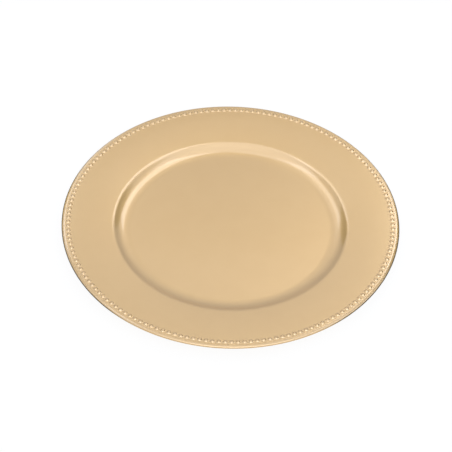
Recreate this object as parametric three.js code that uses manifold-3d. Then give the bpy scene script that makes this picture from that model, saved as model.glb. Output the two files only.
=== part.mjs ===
// Charger plate: one round plastic moulding with a metallic gold finish. It has a flat well for a
// dinner plate, a broad rim that curves up to the edge, a border of round beads and a foot ring below.
// Millimetres, +Z up, origin on the table under the plate's centre.
import * as THREE from "three";
import { mergeVertices } from "three/addons/utils/BufferGeometryUtils.js";
import Module from "manifold-3d";

const wasm = await Module();
wasm.setup();

// Driving dimensions in millimetres, slopes in degrees from level
const PLATE_DIAMETER = 330;
const WALL = 2.5; // the same through floor, side and rim
const WELL_DEPTH = 5.3; // from the rim's inner corner down to the floor
const SIDE_SLOPE = 30; // the well's side at its steepest
const COVE_RADIUS = 30; // floor curving up into the side
const SHOULDER_INNER_RADIUS = 9.5; // under the bend from side to rim
const RIM_WIDTH = 50.5; // from the rim's inner corner to the edge
const RIM_INNER_SLOPE = 8.9; // rising outwards beside the well
const RIM_OUTER_SLOPE = 4.7; // rising outwards under the beads
const RIM_BEND_INSET = 29.2; // from the edge to the middle of the bend between those slopes
const RIM_BEND_INNER_RADIUS = 490; // under that bend
const LIP_WIDTH = 3; // plain band that falls away to the edge
const LIP_SLOPE = 12;
const LIP_RADIUS = 5;
const EDGE_TOP_RADIUS = 1.4;
const EDGE_BOTTOM_RADIUS = 0.3;
const BEAD_DIAMETER = 4.4;
const BEAD_HEIGHT = 1;
const BEAD_GAP = 1.52; // about the clear space between neighbours
const BEAD_INSET = 6.6; // from the plate's edge to the beads' centres
const BEAD_SEAT = 0.2; // how far the dome's rim is sunk in the wall
const FOOT_HEIGHT = 2; // below the floor's underside
const FOOT_WIDTH = 2.4; // of the flat that stands on the table
const FOOT_DRAFT = 10; // taper of the foot's sides, from upright
const FOOT_EDGE_RADIUS = 0.4;
const FOOT_INSET = 9; // from the floor's outer corner to the middle of the foot
const GATE_DIAMETER = 12; // shallow recess under the centre, where the plastic was fed in
const GATE_DEPTH = 0.6;
const GATE_STUB_DIAMETER = 3;
const GATE_STUB_HEIGHT = 0.4;

// How far a facet may cut inside a true arc, and the facets round small round features
const CHORD_ERROR = 0.12;
const BEAD_SIDES = 6;
const BEAD_RINGS = 2;
const GATE_SIDES = 24;

const GOLD = { color: 0xdcbb8b, roughness: 0.36, metalness: 0.85 };

const radians = THREE.MathUtils.degToRad;
const side = radians(SIDE_SLOPE);
const rimInside = radians(RIM_INNER_SLOPE);
const rimOutside = radians(RIM_OUTER_SLOPE);
const edgeRadius = PLATE_DIAMETER / 2;

const beadCircle = edgeRadius - BEAD_INSET;
const beadCount = Math.round((2 * Math.PI * beadCircle) / (BEAD_DIAMETER + BEAD_GAP));
const plateSides = Math.round(beadCount / 2);

// A corner of the section: radius from the axis, height, and the fillet that rounds it
const corner = (radius, height, fillet = 0) => ({ at: new THREE.Vector2(radius, height), fillet });

// The corner that lies one wall below a corner between two slopes
function cornerBelow({ at }, slopeInside, slopeOutside, fillet) {
  const middle = (slopeInside + slopeOutside) / 2;
  const reach = WALL / Math.cos((slopeInside - slopeOutside) / 2);
  return corner(at.x + reach * Math.sin(middle), at.y - reach * Math.cos(middle), fillet);
}

// Points along a section whose corners are rounded by tangent arcs. A fillet that is too large for
// the straight beside it is reduced to what fits.
function roundedSection(corners) {
  const bends = corners.map(({ at, fillet }, i) => {
    if (!fillet) return { at, tangent: 0 };
    const towardsLast = corners[i - 1].at.clone().sub(at).normalize();
    const towardsNext = corners[i + 1].at.clone().sub(at).normalize();
    const turn = Math.PI - towardsLast.angleTo(towardsNext);
    return { at, fillet, towardsLast, towardsNext, turn, tangent: fillet * Math.tan(turn / 2) };
  });
  const share = (a, b) => a.at.distanceTo(b.at) / (a.tangent + b.tangent);
  return bends.flatMap((bend, i) => {
    if (!bend.fillet) return [bend.at];
    const fits = Math.min(1, share(bends[i - 1], bend), share(bend, bends[i + 1]));
    const radius = bend.fillet * fits;
    const start = bend.at.clone().addScaledVector(bend.towardsLast, bend.tangent * fits);
    const inwards = bend.towardsLast.clone().add(bend.towardsNext).normalize();
    const centre = bend.at.clone().addScaledVector(inwards, radius / Math.cos(bend.turn / 2));
    const from = start.clone().sub(centre).angle();
    const clockwise = bend.towardsLast.cross(bend.towardsNext) > 0;
    const to = from + (clockwise ? -bend.turn : bend.turn);
    const arc = new THREE.EllipseCurve(centre.x, centre.y, radius, radius, from, to, clockwise);
    const step = 2 * Math.acos(Math.max(0, 1 - CHORD_ERROR / radius));
    return arc.getPoints(Math.ceil(bend.turn / step));
  });
}

// A closed geometry as a solid that can be joined and cut
function solidOf(geometry) {
  geometry.deleteAttribute("normal");
  geometry.deleteAttribute("uv");
  const merged = mergeVertices(geometry);
  const index = merged.index.array;
  const triangles = [];
  for (let i = 0; i < index.length; i += 3) {
    const [a, b, c] = index.subarray(i, i + 3);
    if (a !== b && b !== c && c !== a) triangles.push(a, b, c);
  }
  const vertProperties = merged.attributes.position.array;
  return new wasm.Manifold(
    new wasm.Mesh({ numProp: 3, vertProperties, triVerts: new Uint32Array(triangles) }),
  );
}

function geometryOf(solid) {
  const { vertProperties, triVerts } = solid.getMesh();
  const geometry = new THREE.BufferGeometry();
  geometry.setAttribute("position", new THREE.BufferAttribute(vertProperties, 3));
  geometry.setIndex(new THREE.BufferAttribute(triVerts, 1));
  return geometry;
}

// A section turned about the upright axis
const revolve = (points, sides) => new THREE.LatheGeometry(points, sides).rotateX(Math.PI / 2);

// Section corners that the top and the underside share
const floorUnder = FOOT_HEIGHT;
const floorTop = floorUnder + WALL;
const shoulderRadius = SHOULDER_INNER_RADIUS + WALL;
const shoulder = corner(edgeRadius - RIM_WIDTH, floorTop + WELL_DEPTH, shoulderRadius);
const cove = corner(shoulder.at.x - WELL_DEPTH / Math.tan(side), floorTop, COVE_RADIUS);
const bendRadius = edgeRadius - RIM_BEND_INSET;
const bendTop = shoulder.at.y + (bendRadius - shoulder.at.x) * Math.tan(rimInside);
const bend = corner(bendRadius, bendTop, RIM_BEND_INNER_RADIUS + WALL);
const coveBelow = cornerBelow(cove, 0, side, COVE_RADIUS + WALL);
const shoulderBelow = cornerBelow(shoulder, side, rimInside, SHOULDER_INNER_RADIUS);
const bendBelow = cornerBelow(bend, rimInside, rimOutside, RIM_BEND_INNER_RADIUS);

// Height of the rim's outer half, where it is straight, at a distance from the axis
const rimTop = (radius) => bend.at.y + (radius - bend.at.x) * Math.tan(rimOutside);

function plateBody() {
  const foot = cove.at.x - FOOT_INSET;
  const footFlat = FOOT_WIDTH / 2;
  const footRoot = footFlat + FOOT_HEIGHT * Math.tan(radians(FOOT_DRAFT));
  const lip = edgeRadius - LIP_WIDTH;
  const edgeTop = rimTop(lip) - LIP_WIDTH * Math.tan(radians(LIP_SLOPE));
  const edgeBottom = rimTop(edgeRadius) - WALL / Math.cos(rimOutside);
  const section = roundedSection([
    corner(0, floorUnder),
    corner(foot - footRoot, floorUnder),
    corner(foot - footFlat, 0, FOOT_EDGE_RADIUS),
    corner(foot + footFlat, 0, FOOT_EDGE_RADIUS),
    corner(foot + footRoot, floorUnder),
    coveBelow,
    shoulderBelow,
    bendBelow,
    corner(edgeRadius, edgeBottom, EDGE_BOTTOM_RADIUS),
    corner(edgeRadius, edgeTop, EDGE_TOP_RADIUS),
    corner(lip, rimTop(lip), LIP_RADIUS),
    bend,
    shoulder,
    cove,
    corner(0, floorTop),
  ]);
  return solidOf(revolve(section, plateSides));
}

// One bead: a ball that is sunk in the rim until a low dome is left, closed off inside the wall
function beadGeometry() {
  const ball = ((BEAD_DIAMETER / 2) ** 2 + BEAD_HEIGHT ** 2) / (2 * BEAD_HEIGHT);
  const centre = BEAD_HEIGHT - ball;
  const startAngle = Math.asin((-BEAD_SEAT - centre) / ball);
  const dome = new THREE.EllipseCurve(0, centre, ball, ball, startAngle, Math.PI / 2);
  const section = dome.getPoints(BEAD_RINGS);
  section[BEAD_RINGS].x = 0; // the top lies on the axis exactly
  section.unshift(new THREE.Vector2(0, section[0].y));
  return revolve(section, BEAD_SIDES);
}

// The border: beads square to the rim's slope, evenly spaced on one circle
function beadBorder() {
  const bead = beadGeometry().rotateY(-rimOutside).translate(beadCircle, 0, rimTop(beadCircle));
  return Array.from({ length: beadCount }, (_, i) =>
    solidOf(bead.clone().rotateZ((i * 2 * Math.PI) / beadCount)),
  );
}

// An upright round plug under the plate's centre, from one height to another
function gatePlug(diameter, bottom, top) {
  const plug = new THREE.CylinderGeometry(diameter / 2, diameter / 2, top - bottom, GATE_SIDES);
  return solidOf(plug.rotateX(Math.PI / 2).translate(0, 0, (bottom + top) / 2));
}

function plateSolid() {
  const gateRoof = floorUnder + GATE_DEPTH;
  const recess = gatePlug(GATE_DIAMETER, 0, gateRoof);
  const stub = gatePlug(GATE_STUB_DIAMETER, gateRoof - GATE_STUB_HEIGHT, gateRoof + WALL / 4);
  const body = plateBody().subtract(recess).add(stub);
  return beadBorder().reduce((whole, bead) => whole.add(bead), body);
}

const plate = new THREE.Mesh(geometryOf(plateSolid()), new THREE.MeshStandardMaterial(GOLD));
plate.name = "plate";

const chargerPlate = new THREE.Group();
chargerPlate.add(plate);

export default chargerPlate;
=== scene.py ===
"""A gold charger plate with a beaded border, on a white table under studio light. Metres, +Z up."""
import math

import bmesh
import bpy
from mathutils import Matrix, Vector


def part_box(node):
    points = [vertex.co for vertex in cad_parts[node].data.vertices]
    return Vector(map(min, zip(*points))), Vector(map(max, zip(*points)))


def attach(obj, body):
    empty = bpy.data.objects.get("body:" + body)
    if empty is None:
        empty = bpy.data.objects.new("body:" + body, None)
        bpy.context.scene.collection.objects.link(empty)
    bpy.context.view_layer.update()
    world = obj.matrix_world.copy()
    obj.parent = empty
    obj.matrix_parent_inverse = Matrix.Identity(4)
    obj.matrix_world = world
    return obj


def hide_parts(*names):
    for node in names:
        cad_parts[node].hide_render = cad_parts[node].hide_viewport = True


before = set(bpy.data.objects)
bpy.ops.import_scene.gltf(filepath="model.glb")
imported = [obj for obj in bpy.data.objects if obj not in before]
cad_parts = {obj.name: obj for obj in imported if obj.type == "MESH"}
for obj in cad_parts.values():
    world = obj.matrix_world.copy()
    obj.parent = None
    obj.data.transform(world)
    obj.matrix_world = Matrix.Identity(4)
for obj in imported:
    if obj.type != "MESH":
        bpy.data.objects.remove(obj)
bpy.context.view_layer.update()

MM = 0.001

# The plate's section. Its edge and its foot are where the frame has them.
low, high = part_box("plate")
EDGE_RADIUS = (high.x - low.x) / 2
TABLE = low.z
WALL = 2.5 * MM
WELL_DEPTH = 5.3 * MM
SIDE_SLOPE = math.radians(30)
COVE_RADIUS = 30 * MM
SHOULDER_INNER_RADIUS = 9.5 * MM
RIM_WIDTH = 50.5 * MM
RIM_INNER_SLOPE = math.radians(8.9)
RIM_OUTER_SLOPE = math.radians(4.7)
RIM_BEND_INSET = 29.2 * MM
RIM_BEND_INNER_RADIUS = 490 * MM
LIP_WIDTH = 3 * MM
LIP_SLOPE = math.radians(12)
LIP_RADIUS = 5 * MM
EDGE_TOP_RADIUS = 1.4 * MM
EDGE_BOTTOM_RADIUS = 0.3 * MM
FOOT_HEIGHT = 2 * MM
FOOT_WIDTH = 2.4 * MM
FOOT_DRAFT = math.radians(10)
FOOT_EDGE_RADIUS = 0.4 * MM
FOOT_INSET = 9 * MM
GATE_RADIUS = 6 * MM
GATE_DEPTH = 0.6 * MM
GATE_STUB_RADIUS = 1.5 * MM
GATE_STUB_HEIGHT = 0.4 * MM
GATE_EDGE_RADIUS = 0.15 * MM

# The beaded border: each bead is a low dome with a small fillet at its foot
BEAD_COUNT = 168
BEAD_PITCH = 2 * math.pi / BEAD_COUNT
BEAD_INSET = 6.6 * MM
BEAD_CIRCLE = EDGE_RADIUS - BEAD_INSET
BEAD_RADIUS = 2.1 * MM
BEAD_HEIGHT = 0.95 * MM
BEAD_SIDE_SLOPE = math.radians(45)
BEAD_CROWN_RADIUS = 1.9 * MM
BEAD_FOOT_RADIUS = 1 * MM
BEAD_SIDES = 12

# The patch of rim that one bead sits in has as many points round it as the bead has sides
PATCH_HALF_WIDTH = 2.55 * MM
PATCH_ROWS = 4
PATCH_COLUMNS = 2

# How far a facet may cut inside an arc, and how close to its ends a long straight is held flat
CHORD_ERROR = 0.01 * MM
BEAD_CHORD_ERROR = 0.03 * MM
HOLD = 0.8 * MM
LONG_STRAIGHT = 4 * HOLD

# Points closer than this are one point
TOUCH = 0.004 * MM

# The camera, with the pixels of the frame that it was fitted to and a sensor width in millimetres
FRAME_PIXELS = 452
FRAME_MIDDLE = 0.5
FOCAL_PIXELS = 1795.3
AIM_PIXEL = (230.68, 219.5)
AIM_HEIGHT = 13.96 * MM
CAMERA_DISTANCE = 1.7569
CAMERA_ELEVATION = math.radians(45.5)
CAMERA_AZIMUTH = math.radians(0.67)
CAMERA_ROLL = math.radians(1.6)
SENSOR_WIDTH = 36

# The gold lacquer: its colours, its coat, and its clouds, ripple and flakes
GOLD = (0.67, 0.455, 0.215, 1)
DEEP_GOLD = (0.64, 0.425, 0.195, 1)
GOLD_METALLIC = 0.97
GOLD_ROUGHNESS = 0.41
GOLD_COAT = 1
GOLD_COAT_IOR = 1.85
GOLD_COAT_ROUGHNESS = 0.12
CLOUD_SIZE = 24 * MM
CLOUD_DETAIL = 3
CLOUD_START = 0.3
CLOUD_END = 0.7
CLOUD_TINT = 0.25
CLOUD_ROUGHNESS = 0.015
RIPPLE_SIZE = 1.6 * MM
RIPPLE_DETAIL = 2
RIPPLE_SHARE = 0.6
FLAKE_SIZE = 0.3 * MM
FLAKE_DETAIL = 1
FLAKE_SHARE = 0.4
RELIEF_STRENGTH = 0.1
RELIEF_HEIGHT = 0.005 * MM

# The table
TABLE_RADIUS = 6
TABLE_SIDES = 64
TABLE_WHITE = (0.9, 0.9, 0.9, 1)
TABLE_GLOW = 0.94
WHITE = (1, 1, 1, 1)

# The sky's light where 1 is white, and the heights between which it changes, where 1 is overhead
LOW_LIGHT = 0.6
MIDDLE_LIGHT = 0.84
ZENITH_LIGHT = 0.05
LOW_HEIGHT = 0.1
MIDDLE_HEIGHT = 0.6
ZENITH_HEIGHT = 1

# Tints of the lamps, and colours of the cards that the gold reflects
COOL_WHITE = (1, 1.05, 1.18)
BLUE_WHITE = (1, 1.22, 1.7)
PLAIN_WHITE = (1, 1, 1)
TAN = (0.13, 0.11, 0, 1)
BROWN = (0.2, 0.19, 0.1, 1)
CARD_GREY = (0.03, 0.03, 0.035, 1)
PALE_GREY = (0.57, 0.59, 0.62, 1)

# Heights of the lamps overhead, and the turn in degrees and length of the two at the left
CEILING_HEIGHT = 1.6
STRIP_HEIGHT = 1.2
LEFT_TURN = 17.5
LEFT_LENGTH = 1.02

# Two lamps beside the plate that show in the near quarters of its lip, mirrored left to right
LIP_LAMP_ASIDE = 0.335
LIP_LAMP_BACK = -0.06
LIP_LAMP_HEIGHT = 0.3
LIP_LAMP_SIZE = (0.12, 0.34)
LIP_LAMP_TURN = 45

# Large flags a way off. Azimuth 0 is behind the plate and 90 degrees at its right.
FLAG_DISTANCE = 2
FLAG_ELEVATION = math.radians(27)
LEFT_FLAG_AZIMUTH = math.radians(-39)
RIGHT_FLAG_AZIMUTH = math.radians(49)

# Dark cards beside the plate: one stands upright as a fence, one lies just above the table as painted
# shade for the plate's edge to reflect
FENCE_ASIDE = 200 * MM
FENCE_BACK = 25 * MM
FENCE_LENGTH = 350 * MM
FENCE_HEIGHT = 27 * MM
FENCE_GAP = 3 * MM
CARD_ASIDE = 180 * MM
CARD_BACK = 50 * MM
CARD_LENGTH = 420 * MM
CARD_WIDTH = 130 * MM
CARD_GAP = 1 * MM

# A pale card above the plate that shows in its near lip: the part of a ring in front of a cut
NEAR_CARD_PLACE = (0, 0.24, 0.3)
NEAR_CARD_RADIUS = 0.268
NEAR_CARD_WIDTH = 0.064
NEAR_CARD_CUT = -0.04
NEAR_CARD_SIDES = 48


class Wire:
    """An output of a node. Sums on it add Math nodes, and add() makes any other node."""

    def __init__(self, socket):
        self.socket = socket
        self.tree = socket.id_data

    @staticmethod
    def add(tree, kind, settings, sockets, output=0):
        node = tree.nodes.new(kind)
        for name, value in settings.items():
            setattr(node, name, value)
        for name, value in sockets.items():
            if isinstance(value, Wire):
                tree.links.new(value.socket, node.inputs[name])
            else:
                node.inputs[name].default_value = value
        return Wire(node.outputs[output]) if node.outputs else None

    def maths(self, operation, *values):
        return self.add(self.tree, "ShaderNodeMath", {"operation": operation}, dict(enumerate(values)))

    def __add__(self, other):
        return self.maths("ADD", self, other)

    def __radd__(self, other):
        return self.maths("ADD", other, self)

    def __sub__(self, other):
        return self.maths("SUBTRACT", self, other)

    def __rsub__(self, other):
        return self.maths("SUBTRACT", other, self)

    def __mul__(self, other):
        return self.maths("MULTIPLY", self, other)

    def __rmul__(self, other):
        return self.maths("MULTIPLY", other, self)

    def rise(self, start, end):
        """0 before start, 1 after end, and smooth between."""
        settings = {"interpolation_type": "SMOOTHSTEP"}
        sockets = {"Value": self, "From Min": start, "From Max": end}
        return self.add(self.tree, "ShaderNodeMapRange", settings, sockets)


def empty_tree(owner):
    owner.use_nodes = True
    owner.node_tree.nodes.clear()
    return owner.node_tree


def blend_colours(tree, share, first, second):
    """A Mix node, whose colours are sockets 6 and 7 because its socket names repeat."""
    sockets = {0: share, 6: first, 7: second}
    return Wire.add(tree, "ShaderNodeMix", {"data_type": "RGBA"}, sockets, output=2)


def lumps(tree, place, size, detail):
    """Noise from 0 to 1 whose lumps are about size across."""
    sockets = {"Vector": place, "Scale": 1 / size, "Detail": detail}
    return Wire.add(tree, "ShaderNodeTexNoise", {}, sockets)


def ray_is(tree, *kinds):
    """1 for rays of these kinds."""
    found = [Wire.add(tree, "ShaderNodeLightPath", {}, {}, output=kind) for kind in kinds]
    return sum(found[1:], found[0])


# Finishes of the plate, the table and the cards


def gold_lacquer():
    """Sprayed metallic lacquer under a clear coat: faintly cloudy and rippled, with fine flakes."""
    material = bpy.data.materials.new("gold_lacquer")
    tree = empty_tree(material)
    place = Wire.add(tree, "ShaderNodeTexCoord", {}, {}, output="Object")
    clouds = lumps(tree, place, CLOUD_SIZE, CLOUD_DETAIL).rise(CLOUD_START, CLOUD_END)
    ripple = lumps(tree, place, RIPPLE_SIZE, RIPPLE_DETAIL)
    flakes = lumps(tree, place, FLAKE_SIZE, FLAKE_DETAIL)
    relief = {
        "Height": ripple * RIPPLE_SHARE + flakes * FLAKE_SHARE,
        "Strength": RELIEF_STRENGTH,
        "Distance": RELIEF_HEIGHT,
    }
    look = {
        "Base Color": blend_colours(tree, clouds * CLOUD_TINT, GOLD, DEEP_GOLD),
        "Metallic": GOLD_METALLIC,
        "Roughness": GOLD_ROUGHNESS + clouds * CLOUD_ROUGHNESS,
        "Coat Weight": GOLD_COAT,
        "Coat IOR": GOLD_COAT_IOR,
        "Coat Roughness": GOLD_COAT_ROUGHNESS,
        "Normal": Wire.add(tree, "ShaderNodeBump", {}, relief),
    }
    shader = Wire.add(tree, "ShaderNodeBsdfPrincipled", {}, look)
    Wire.add(tree, "ShaderNodeOutputMaterial", {}, {"Surface": shader})
    return material


def white_table():
    """A white table top. The camera and the gold see it nearly plain white, with a trace of shadow."""
    material = bpy.data.materials.new("white_table")
    tree = empty_tree(material)
    lit = Wire.add(tree, "ShaderNodeBsdfDiffuse", {}, {"Color": TABLE_WHITE})
    white = Wire.add(tree, "ShaderNodeEmission", {}, {"Color": WHITE})
    seen = ray_is(tree, "Is Camera Ray", "Is Glossy Ray") * TABLE_GLOW
    shader = Wire.add(tree, "ShaderNodeMixShader", {}, {0: seen, 1: lit, 2: white})
    Wire.add(tree, "ShaderNodeOutputMaterial", {}, {"Surface": shader})
    return material


def plain_card(name, colour):
    """A card that looks the same under any light."""
    material = bpy.data.materials.new(name)
    tree = empty_tree(material)
    shader = Wire.add(tree, "ShaderNodeEmission", {}, {"Color": colour})
    Wire.add(tree, "ShaderNodeOutputMaterial", {}, {"Surface": shader})
    return material


# Drawing a section


def rounding(before, corner, after, radius):
    """Where the arc that rounds a corner starts, its centre, its axis and its angle."""
    arriving = (corner - before).normalized()
    leaving = (after - corner).normalized()
    turn = arriving.angle(leaving)
    start = corner - arriving * radius * math.tan(turn / 2)
    centre = corner + (leaving - arriving).normalized() * radius / math.cos(turn / 2)
    return start, centre, arriving.cross(leaving), turn


def draw_straight(bm, end, target):
    """Draws on from a vertex to a place. A long straight gets two more points near its ends."""
    reach = target - end.co
    stops = [target]
    if reach.length > LONG_STRAIGHT:
        hold = reach.normalized() * HOLD
        stops = [end.co + hold, target - hold, target]
    for stop in stops:
        end = bmesh.ops.extrude_vert_indiv(bm, verts=[end])["verts"][0]
        end.co = stop
    return end


def draw_section(bm, corners, chord_error):
    """Draws a line through corners given as (distance from the axis, height, rounding radius)."""
    places = [Vector((radius, 0, height)) for radius, height, _ in corners]
    end = bm.verts.new(places[0])
    for i, (_, _, radius) in enumerate(corners[1:], start=1):
        if not radius:
            end = draw_straight(bm, end, places[i])
            continue
        start, centre, axis, turn = rounding(*places[i - 1 : i + 2], radius)
        end = draw_straight(bm, end, start)
        facet = 2 * math.acos(1 - chord_error / radius)
        arc = {"cent": centre, "axis": axis, "angle": turn, "steps": math.ceil(turn / facet)}
        last = bmesh.ops.spin(bm, geom=[end], **arc)["geom_last"]
        end = next(part for part in last if isinstance(part, bmesh.types.BMVert))


# The plate's section. Its corners are given as (distance from the axis, height).

FLOOR_UNDER = TABLE + FOOT_HEIGHT
FLOOR_TOP = FLOOR_UNDER + WALL
SHOULDER = (EDGE_RADIUS - RIM_WIDTH, FLOOR_TOP + WELL_DEPTH)
COVE = (SHOULDER[0] - WELL_DEPTH / math.tan(SIDE_SLOPE), FLOOR_TOP)
BEND_RADIUS = EDGE_RADIUS - RIM_BEND_INSET
RIM_BEND = (BEND_RADIUS, SHOULDER[1] + (BEND_RADIUS - SHOULDER[0]) * math.tan(RIM_INNER_SLOPE))


def rim_top(radius):
    """Height of the rim's outer half, where it is straight."""
    return RIM_BEND[1] + (radius - RIM_BEND[0]) * math.tan(RIM_OUTER_SLOPE)


def one_wall_below(corner, slope_inside, slope_outside):
    """The underside's corner below a corner of the top between two slopes."""
    middle = (slope_inside + slope_outside) / 2
    reach = WALL / math.cos((slope_inside - slope_outside) / 2)
    return corner[0] + reach * math.sin(middle), corner[1] - reach * math.cos(middle)


def gate_corners():
    """The recess under the centre where the plastic was fed in, with the stub of its feed."""
    roof = FLOOR_UNDER + GATE_DEPTH
    return [
        (0, roof - GATE_STUB_HEIGHT, 0),
        (GATE_STUB_RADIUS, roof - GATE_STUB_HEIGHT, GATE_EDGE_RADIUS),
        (GATE_STUB_RADIUS, roof, GATE_EDGE_RADIUS),
        (GATE_RADIUS, roof, GATE_EDGE_RADIUS),
        (GATE_RADIUS, FLOOR_UNDER, GATE_EDGE_RADIUS),
    ]


def foot_corners():
    """The foot ring, narrower at the table than at the floor."""
    middle = COVE[0] - FOOT_INSET
    flat = FOOT_WIDTH / 2
    root = flat + FOOT_HEIGHT * math.tan(FOOT_DRAFT)
    return [
        (middle - root, FLOOR_UNDER, FOOT_EDGE_RADIUS),
        (middle - flat, TABLE, FOOT_EDGE_RADIUS),
        (middle + flat, TABLE, FOOT_EDGE_RADIUS),
        (middle + root, FLOOR_UNDER, FOOT_EDGE_RADIUS),
    ]


def edge_corners():
    """The rounded edge and the lip that falls away to it."""
    lip = EDGE_RADIUS - LIP_WIDTH
    top = rim_top(lip) - LIP_WIDTH * math.tan(LIP_SLOPE)
    bottom = rim_top(EDGE_RADIUS) - WALL / math.cos(RIM_OUTER_SLOPE)
    return [
        (EDGE_RADIUS, bottom, EDGE_BOTTOM_RADIUS),
        (EDGE_RADIUS, top, EDGE_TOP_RADIUS),
        (lip, rim_top(lip), LIP_RADIUS),
    ]


def patch_corners():
    """Rows of points across the rim, where the beads will sit."""
    row = 2 * PATCH_HALF_WIDTH / PATCH_ROWS
    radii = [BEAD_CIRCLE + PATCH_HALF_WIDTH - row * i for i in range(PATCH_ROWS + 1)]
    return [(radius, rim_top(radius), 0) for radius in radii]


def plate_corners():
    """The whole section, from the axis underneath, round the edge, to the axis on top."""
    return [
        *gate_corners(),
        *foot_corners(),
        (*one_wall_below(COVE, 0, SIDE_SLOPE), COVE_RADIUS + WALL),
        (*one_wall_below(SHOULDER, SIDE_SLOPE, RIM_INNER_SLOPE), SHOULDER_INNER_RADIUS),
        (*one_wall_below(RIM_BEND, RIM_INNER_SLOPE, RIM_OUTER_SLOPE), RIM_BEND_INNER_RADIUS),
        *edge_corners(),
        *patch_corners(),
        (*RIM_BEND, RIM_BEND_INNER_RADIUS + WALL),
        (*SHOULDER, SHOULDER_INNER_RADIUS + WALL),
        (*COVE, COVE_RADIUS),
        (0, FLOOR_TOP, 0),
    ]


# The plate


def open_patch(bm):
    """Takes the faces of the bead's patch out of a slice and gives the edges round the hole."""

    def in_patch(vert):
        radius = vert.co.xy.length
        across = abs(radius - BEAD_CIRCLE)
        return across < PATCH_HALF_WIDTH + TOUCH and abs(vert.co.z - rim_top(radius)) < TOUCH

    patch = {vert for vert in bm.verts if in_patch(vert)}
    faces = [face for face in bm.faces if patch.issuperset(face.verts)]
    inner = [v for v in patch if all(f in faces for f in v.link_faces)]
    middle = [v for v in inner if abs(v.co.y) < TOUCH]
    bmesh.ops.delete(bm, geom=faces, context="FACES_ONLY")
    bmesh.ops.delete(bm, geom=middle, context="VERTS")
    patch.difference_update(middle)
    return [edge for edge in bm.edges if patch.issuperset(edge.verts)]


def bead_corners():
    """Half of a bead's section, from the end of its foot's fillet to the top of its crown."""
    crown = BEAD_RADIUS - BEAD_HEIGHT / math.tan(BEAD_SIDE_SLOPE)
    foot = BEAD_RADIUS + BEAD_FOOT_RADIUS * math.tan(BEAD_SIDE_SLOPE / 2)
    return [
        (foot, 0, 0),
        (BEAD_RADIUS, 0, BEAD_FOOT_RADIUS),
        (crown, BEAD_HEIGHT, BEAD_CROWN_RADIUS),
        (0, BEAD_HEIGHT, 0),
    ]


def add_bead(bm):
    """One bead in the patch of the slice, square to the rim's slope and bridged to it."""
    hole = open_patch(bm)
    rim = set(bm.verts)
    draw_section(bm, bead_corners(), BEAD_CHORD_ERROR)
    half = [v for v in bm.verts if v not in rim]
    half += [e for e in bm.edges if not rim.intersection(e.verts)]
    turn = {"cent": (0, 0, 0), "axis": (0, 0, 1), "angle": 2 * math.pi, "steps": BEAD_SIDES}
    bmesh.ops.spin(bm, geom=half, use_merge=True, **turn)
    bead = [v for v in bm.verts if v not in rim]
    bmesh.ops.remove_doubles(bm, verts=bead, dist=TOUCH)
    bead = [v for v in bm.verts if v not in rim]
    ring = {v for v in bead if abs(v.co.z) < TOUCH}
    seat = Matrix.Translation((BEAD_CIRCLE, 0, rim_top(BEAD_CIRCLE)))
    bmesh.ops.transform(bm, matrix=seat @ Matrix.Rotation(-RIM_OUTER_SLOPE, 4, "Y"), verts=bead)
    skirt = [e for e in bm.edges if ring.issuperset(e.verts)]
    bmesh.ops.bridge_loops(bm, edges=hole + skirt)


def gold_plate():
    """One slice of the plate with one bead, turned round the axis as often as there are beads."""
    bm = bmesh.new()
    round_axis = {"cent": (0, 0, 0), "axis": (0, 0, 1)}
    draw_section(bm, plate_corners(), CHORD_ERROR)
    bmesh.ops.rotate(bm, verts=bm.verts, matrix=Matrix.Rotation(-BEAD_PITCH / 2, 3, "Z"))
    line = bm.verts[:] + bm.edges[:]
    bmesh.ops.spin(bm, geom=line, angle=BEAD_PITCH, steps=PATCH_COLUMNS, **round_axis)
    bmesh.ops.remove_doubles(bm, verts=bm.verts, dist=TOUCH)
    add_bead(bm)
    one_slice = bm.verts[:] + bm.edges[:] + bm.faces[:]
    others = {"angle": 2 * math.pi - BEAD_PITCH, "steps": BEAD_COUNT - 1, "use_duplicate": True}
    bmesh.ops.spin(bm, geom=one_slice, **others, **round_axis)
    bmesh.ops.remove_doubles(bm, verts=bm.verts, dist=TOUCH)
    bmesh.ops.recalc_face_normals(bm, faces=bm.faces)
    return bm


def piece_of(bm, name, material):
    """Turns a finished mesh into an object at the origin."""
    mesh = bpy.data.meshes.new(name)
    bm.to_mesh(mesh)
    bm.free()
    mesh.materials.append(material)
    mesh.shade_smooth()
    piece = bpy.data.objects.new(name, mesh)
    bpy.context.scene.collection.objects.link(piece)
    return piece


plate = piece_of(gold_plate(), "gold_plate", gold_lacquer())
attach(plate, "root")
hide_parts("plate")


# The stage: table, sky, lamps and cards


def table():
    bm = bmesh.new()
    bmesh.ops.create_circle(bm, cap_ends=True, segments=TABLE_SIDES, radius=TABLE_RADIUS)
    bmesh.ops.translate(bm, verts=bm.verts, vec=(0, 0, TABLE))
    piece_of(bm, "table", white_table())


def sky():
    """Pale light all round, less of it from below and from above, which the camera sees as white."""
    world = bpy.data.worlds.new("sky")
    tree = empty_tree(world)
    direction = Wire.add(tree, "ShaderNodeTexCoord", {}, {}, output="Generated")
    height = Wire.add(tree, "ShaderNodeSeparateXYZ", {}, {"Vector": direction}, output="Z")
    climb = LOW_LIGHT + height.rise(LOW_HEIGHT, MIDDLE_HEIGHT) * (MIDDLE_LIGHT - LOW_LIGHT)
    light = climb + height.rise(MIDDLE_HEIGHT, ZENITH_HEIGHT) * (ZENITH_LIGHT - MIDDLE_LIGHT)
    seen = ray_is(tree, "Is Camera Ray")
    strength = seen + (1 - seen) * light
    shader = Wire.add(tree, "ShaderNodeBackground", {}, {"Color": WHITE, "Strength": strength})
    Wire.add(tree, "ShaderNodeOutputWorld", {}, {"Surface": shader})
    bpy.context.scene.world = world


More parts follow.
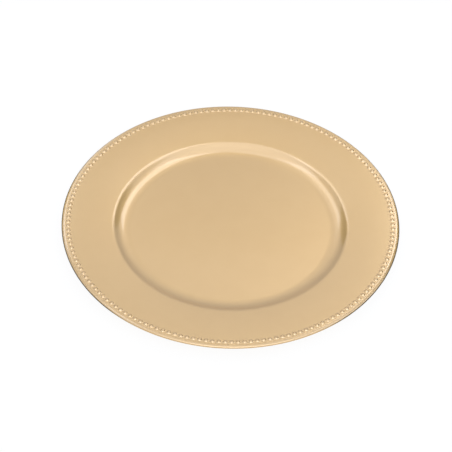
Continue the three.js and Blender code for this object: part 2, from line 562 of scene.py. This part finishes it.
def softbox(name, place, size, radiance, turn=0, colour=PLAIN_WHITE):
    """A lamp that faces straight down, turned in its plane by degrees. A radiance of 1 is white."""
    width, length = size
    lamp = bpy.data.lights.new(name, "AREA")
    lamp.shape = "RECTANGLE"
    lamp.size = width
    lamp.size_y = length
    lamp.color = colour
    lamp.energy = radiance * math.pi * width * length
    box = bpy.data.objects.new(name, lamp)
    box.location = place
    box.rotation_euler.z = math.radians(turn)
    box.visible_camera = False
    bpy.context.scene.collection.objects.link(box)


def lip_lamp(name, side, radiance):
    """A lamp that shows in one near quarter of the lip, at side -1 or 1."""
    place = (side * LIP_LAMP_ASIDE, LIP_LAMP_BACK, LIP_LAMP_HEIGHT)
    softbox(name, place, LIP_LAMP_SIZE, radiance, turn=-side * LIP_LAMP_TURN, colour=BLUE_WHITE)


def show_in_reflections(bm, name, colour):
    """Makes a card that only shows in the gold's reflections."""
    card = piece_of(bm, name, plain_card(name, colour))
    card.visible_camera = False
    card.visible_diffuse = False
    card.visible_shadow = False


def flag(name, stand, width, length, colour):
    """A flat card. It starts as a square of one metre at the origin."""
    bm = bmesh.new()
    bmesh.ops.create_grid(bm, x_segments=1, y_segments=1, size=0.5)
    bmesh.ops.scale(bm, vec=(width, length, 1), verts=bm.verts)
    bmesh.ops.transform(bm, matrix=stand, verts=bm.verts)
    show_in_reflections(bm, name, colour)


def facing_plate(azimuth):
    """Stands a flag a way off with its front to the plate and its length upwards."""
    level = FLAG_DISTANCE * math.cos(FLAG_ELEVATION)
    height = FLAG_DISTANCE * math.sin(FLAG_ELEVATION)
    place = Vector((level * math.sin(azimuth), level * math.cos(azimuth), height))
    return Matrix.Translation(place) @ place.to_track_quat("Z", "Y").to_matrix().to_4x4()


def dark_fence(name, side):
    """A dark card that stands upright beside the plate, at side -1 or 1."""
    place = (side * FENCE_ASIDE, FENCE_BACK, TABLE + FENCE_GAP + FENCE_HEIGHT / 2)
    stand = Matrix.Translation(place) @ Matrix.Rotation(math.pi / 2, 4, "Y")
    flag(name, stand, FENCE_HEIGHT, FENCE_LENGTH, CARD_GREY)


def dark_card(name, side):
    """A dark card just above the table, under and beside the plate's edge, at side -1 or 1. It is painted
    shade, which only the gold's reflections show.
    """
    place = (side * CARD_ASIDE, CARD_BACK, TABLE + CARD_GAP)
    flag(name, Matrix.Translation(place), CARD_WIDTH, CARD_LENGTH, CARD_GREY)


def near_card():
    """A pale level card, bent in an arc above the plate."""
    bm = bmesh.new()
    for radius in (NEAR_CARD_RADIUS - NEAR_CARD_WIDTH / 2, NEAR_CARD_RADIUS + NEAR_CARD_WIDTH / 2):
        bmesh.ops.create_circle(bm, segments=NEAR_CARD_SIDES, radius=radius)
    bmesh.ops.bridge_loops(bm, edges=bm.edges)
    ring = bm.verts[:] + bm.edges[:] + bm.faces[:]
    cut = {"plane_co": (0, NEAR_CARD_CUT, 0), "plane_no": (0, 1, 0)}
    bmesh.ops.bisect_plane(bm, geom=ring, clear_outer=True, **cut)
    bmesh.ops.translate(bm, verts=bm.verts, vec=NEAR_CARD_PLACE)
    show_in_reflections(bm, "near_card", PALE_GREY)


table()
sky()
softbox("ceiling", (-0.1, 0.1, CEILING_HEIGHT), size=(1.8, 1.08), radiance=1, colour=COOL_WHITE)
softbox("front_ceiling", (0.12, -1.17, CEILING_HEIGHT), size=(1.9, 1.46), radiance=2.4, colour=COOL_WHITE)
softbox("left_strip", (-0.55, 0.79, STRIP_HEIGHT), size=(0.33, LEFT_LENGTH), radiance=1.54, turn=LEFT_TURN)
softbox("left_fill", (-0.27, 0.88, STRIP_HEIGHT), size=(0.22, LEFT_LENGTH), radiance=0.47, turn=LEFT_TURN)
softbox("right_strip", (0.43, 0.9, STRIP_HEIGHT), size=(0.36, 1.08), radiance=2.12, turn=-23)
softbox("back_box", (0, 0.75, 1), size=(0.5, 0.3), radiance=0.28)
softbox("side_box", (0.2, 0.2, 0.4), size=(0.2, 0.2), radiance=0.38)
softbox("left_edge_lamp", (-0.2, 0.2, 0.12), size=(0.05, 0.34), radiance=0.58, colour=BLUE_WHITE)
softbox("right_edge_lamp", (0.19, 0.15, 0.155), size=(0.05, 0.2), radiance=0.78, colour=BLUE_WHITE)
lip_lamp("left_lip_lamp", -1, radiance=0.55)
lip_lamp("right_lip_lamp", 1, radiance=1.3)
flag("left_flag", facing_plate(LEFT_FLAG_AZIMUTH), width=0.67, length=0.67, colour=TAN)
flag("right_flag", facing_plate(RIGHT_FLAG_AZIMUTH), width=1.1, length=1.38, colour=BROWN)
dark_fence("left_fence", -1)
dark_fence("right_fence", 1)
dark_card("left_card", -1)
dark_card("right_card", 1)
near_card()


# The camera


def camera():
    lens = bpy.data.cameras.new("camera")
    lens.sensor_width = SENSOR_WIDTH
    lens.lens = FOCAL_PIXELS / FRAME_PIXELS * SENSOR_WIDTH
    lens.shift_x = FRAME_MIDDLE - AIM_PIXEL[0] / FRAME_PIXELS
    lens.shift_y = AIM_PIXEL[1] / FRAME_PIXELS - FRAME_MIDDLE
    turn = Matrix.Rotation(CAMERA_AZIMUTH, 4, "Z")
    tilt = Matrix.Rotation(math.pi / 2 - CAMERA_ELEVATION, 4, "X")
    roll = Matrix.Rotation(CAMERA_ROLL, 4, "Z")
    away = Matrix.Translation((0, 0, CAMERA_DISTANCE))
    eye = bpy.data.objects.new("camera", lens)
    eye.matrix_world = Matrix.Translation((0, 0, TABLE + AIM_HEIGHT)) @ turn @ tilt @ roll @ away
    bpy.context.scene.collection.objects.link(eye)
    bpy.context.scene.camera = eye


camera()
bpy.context.scene.view_settings.view_transform = "Standard"
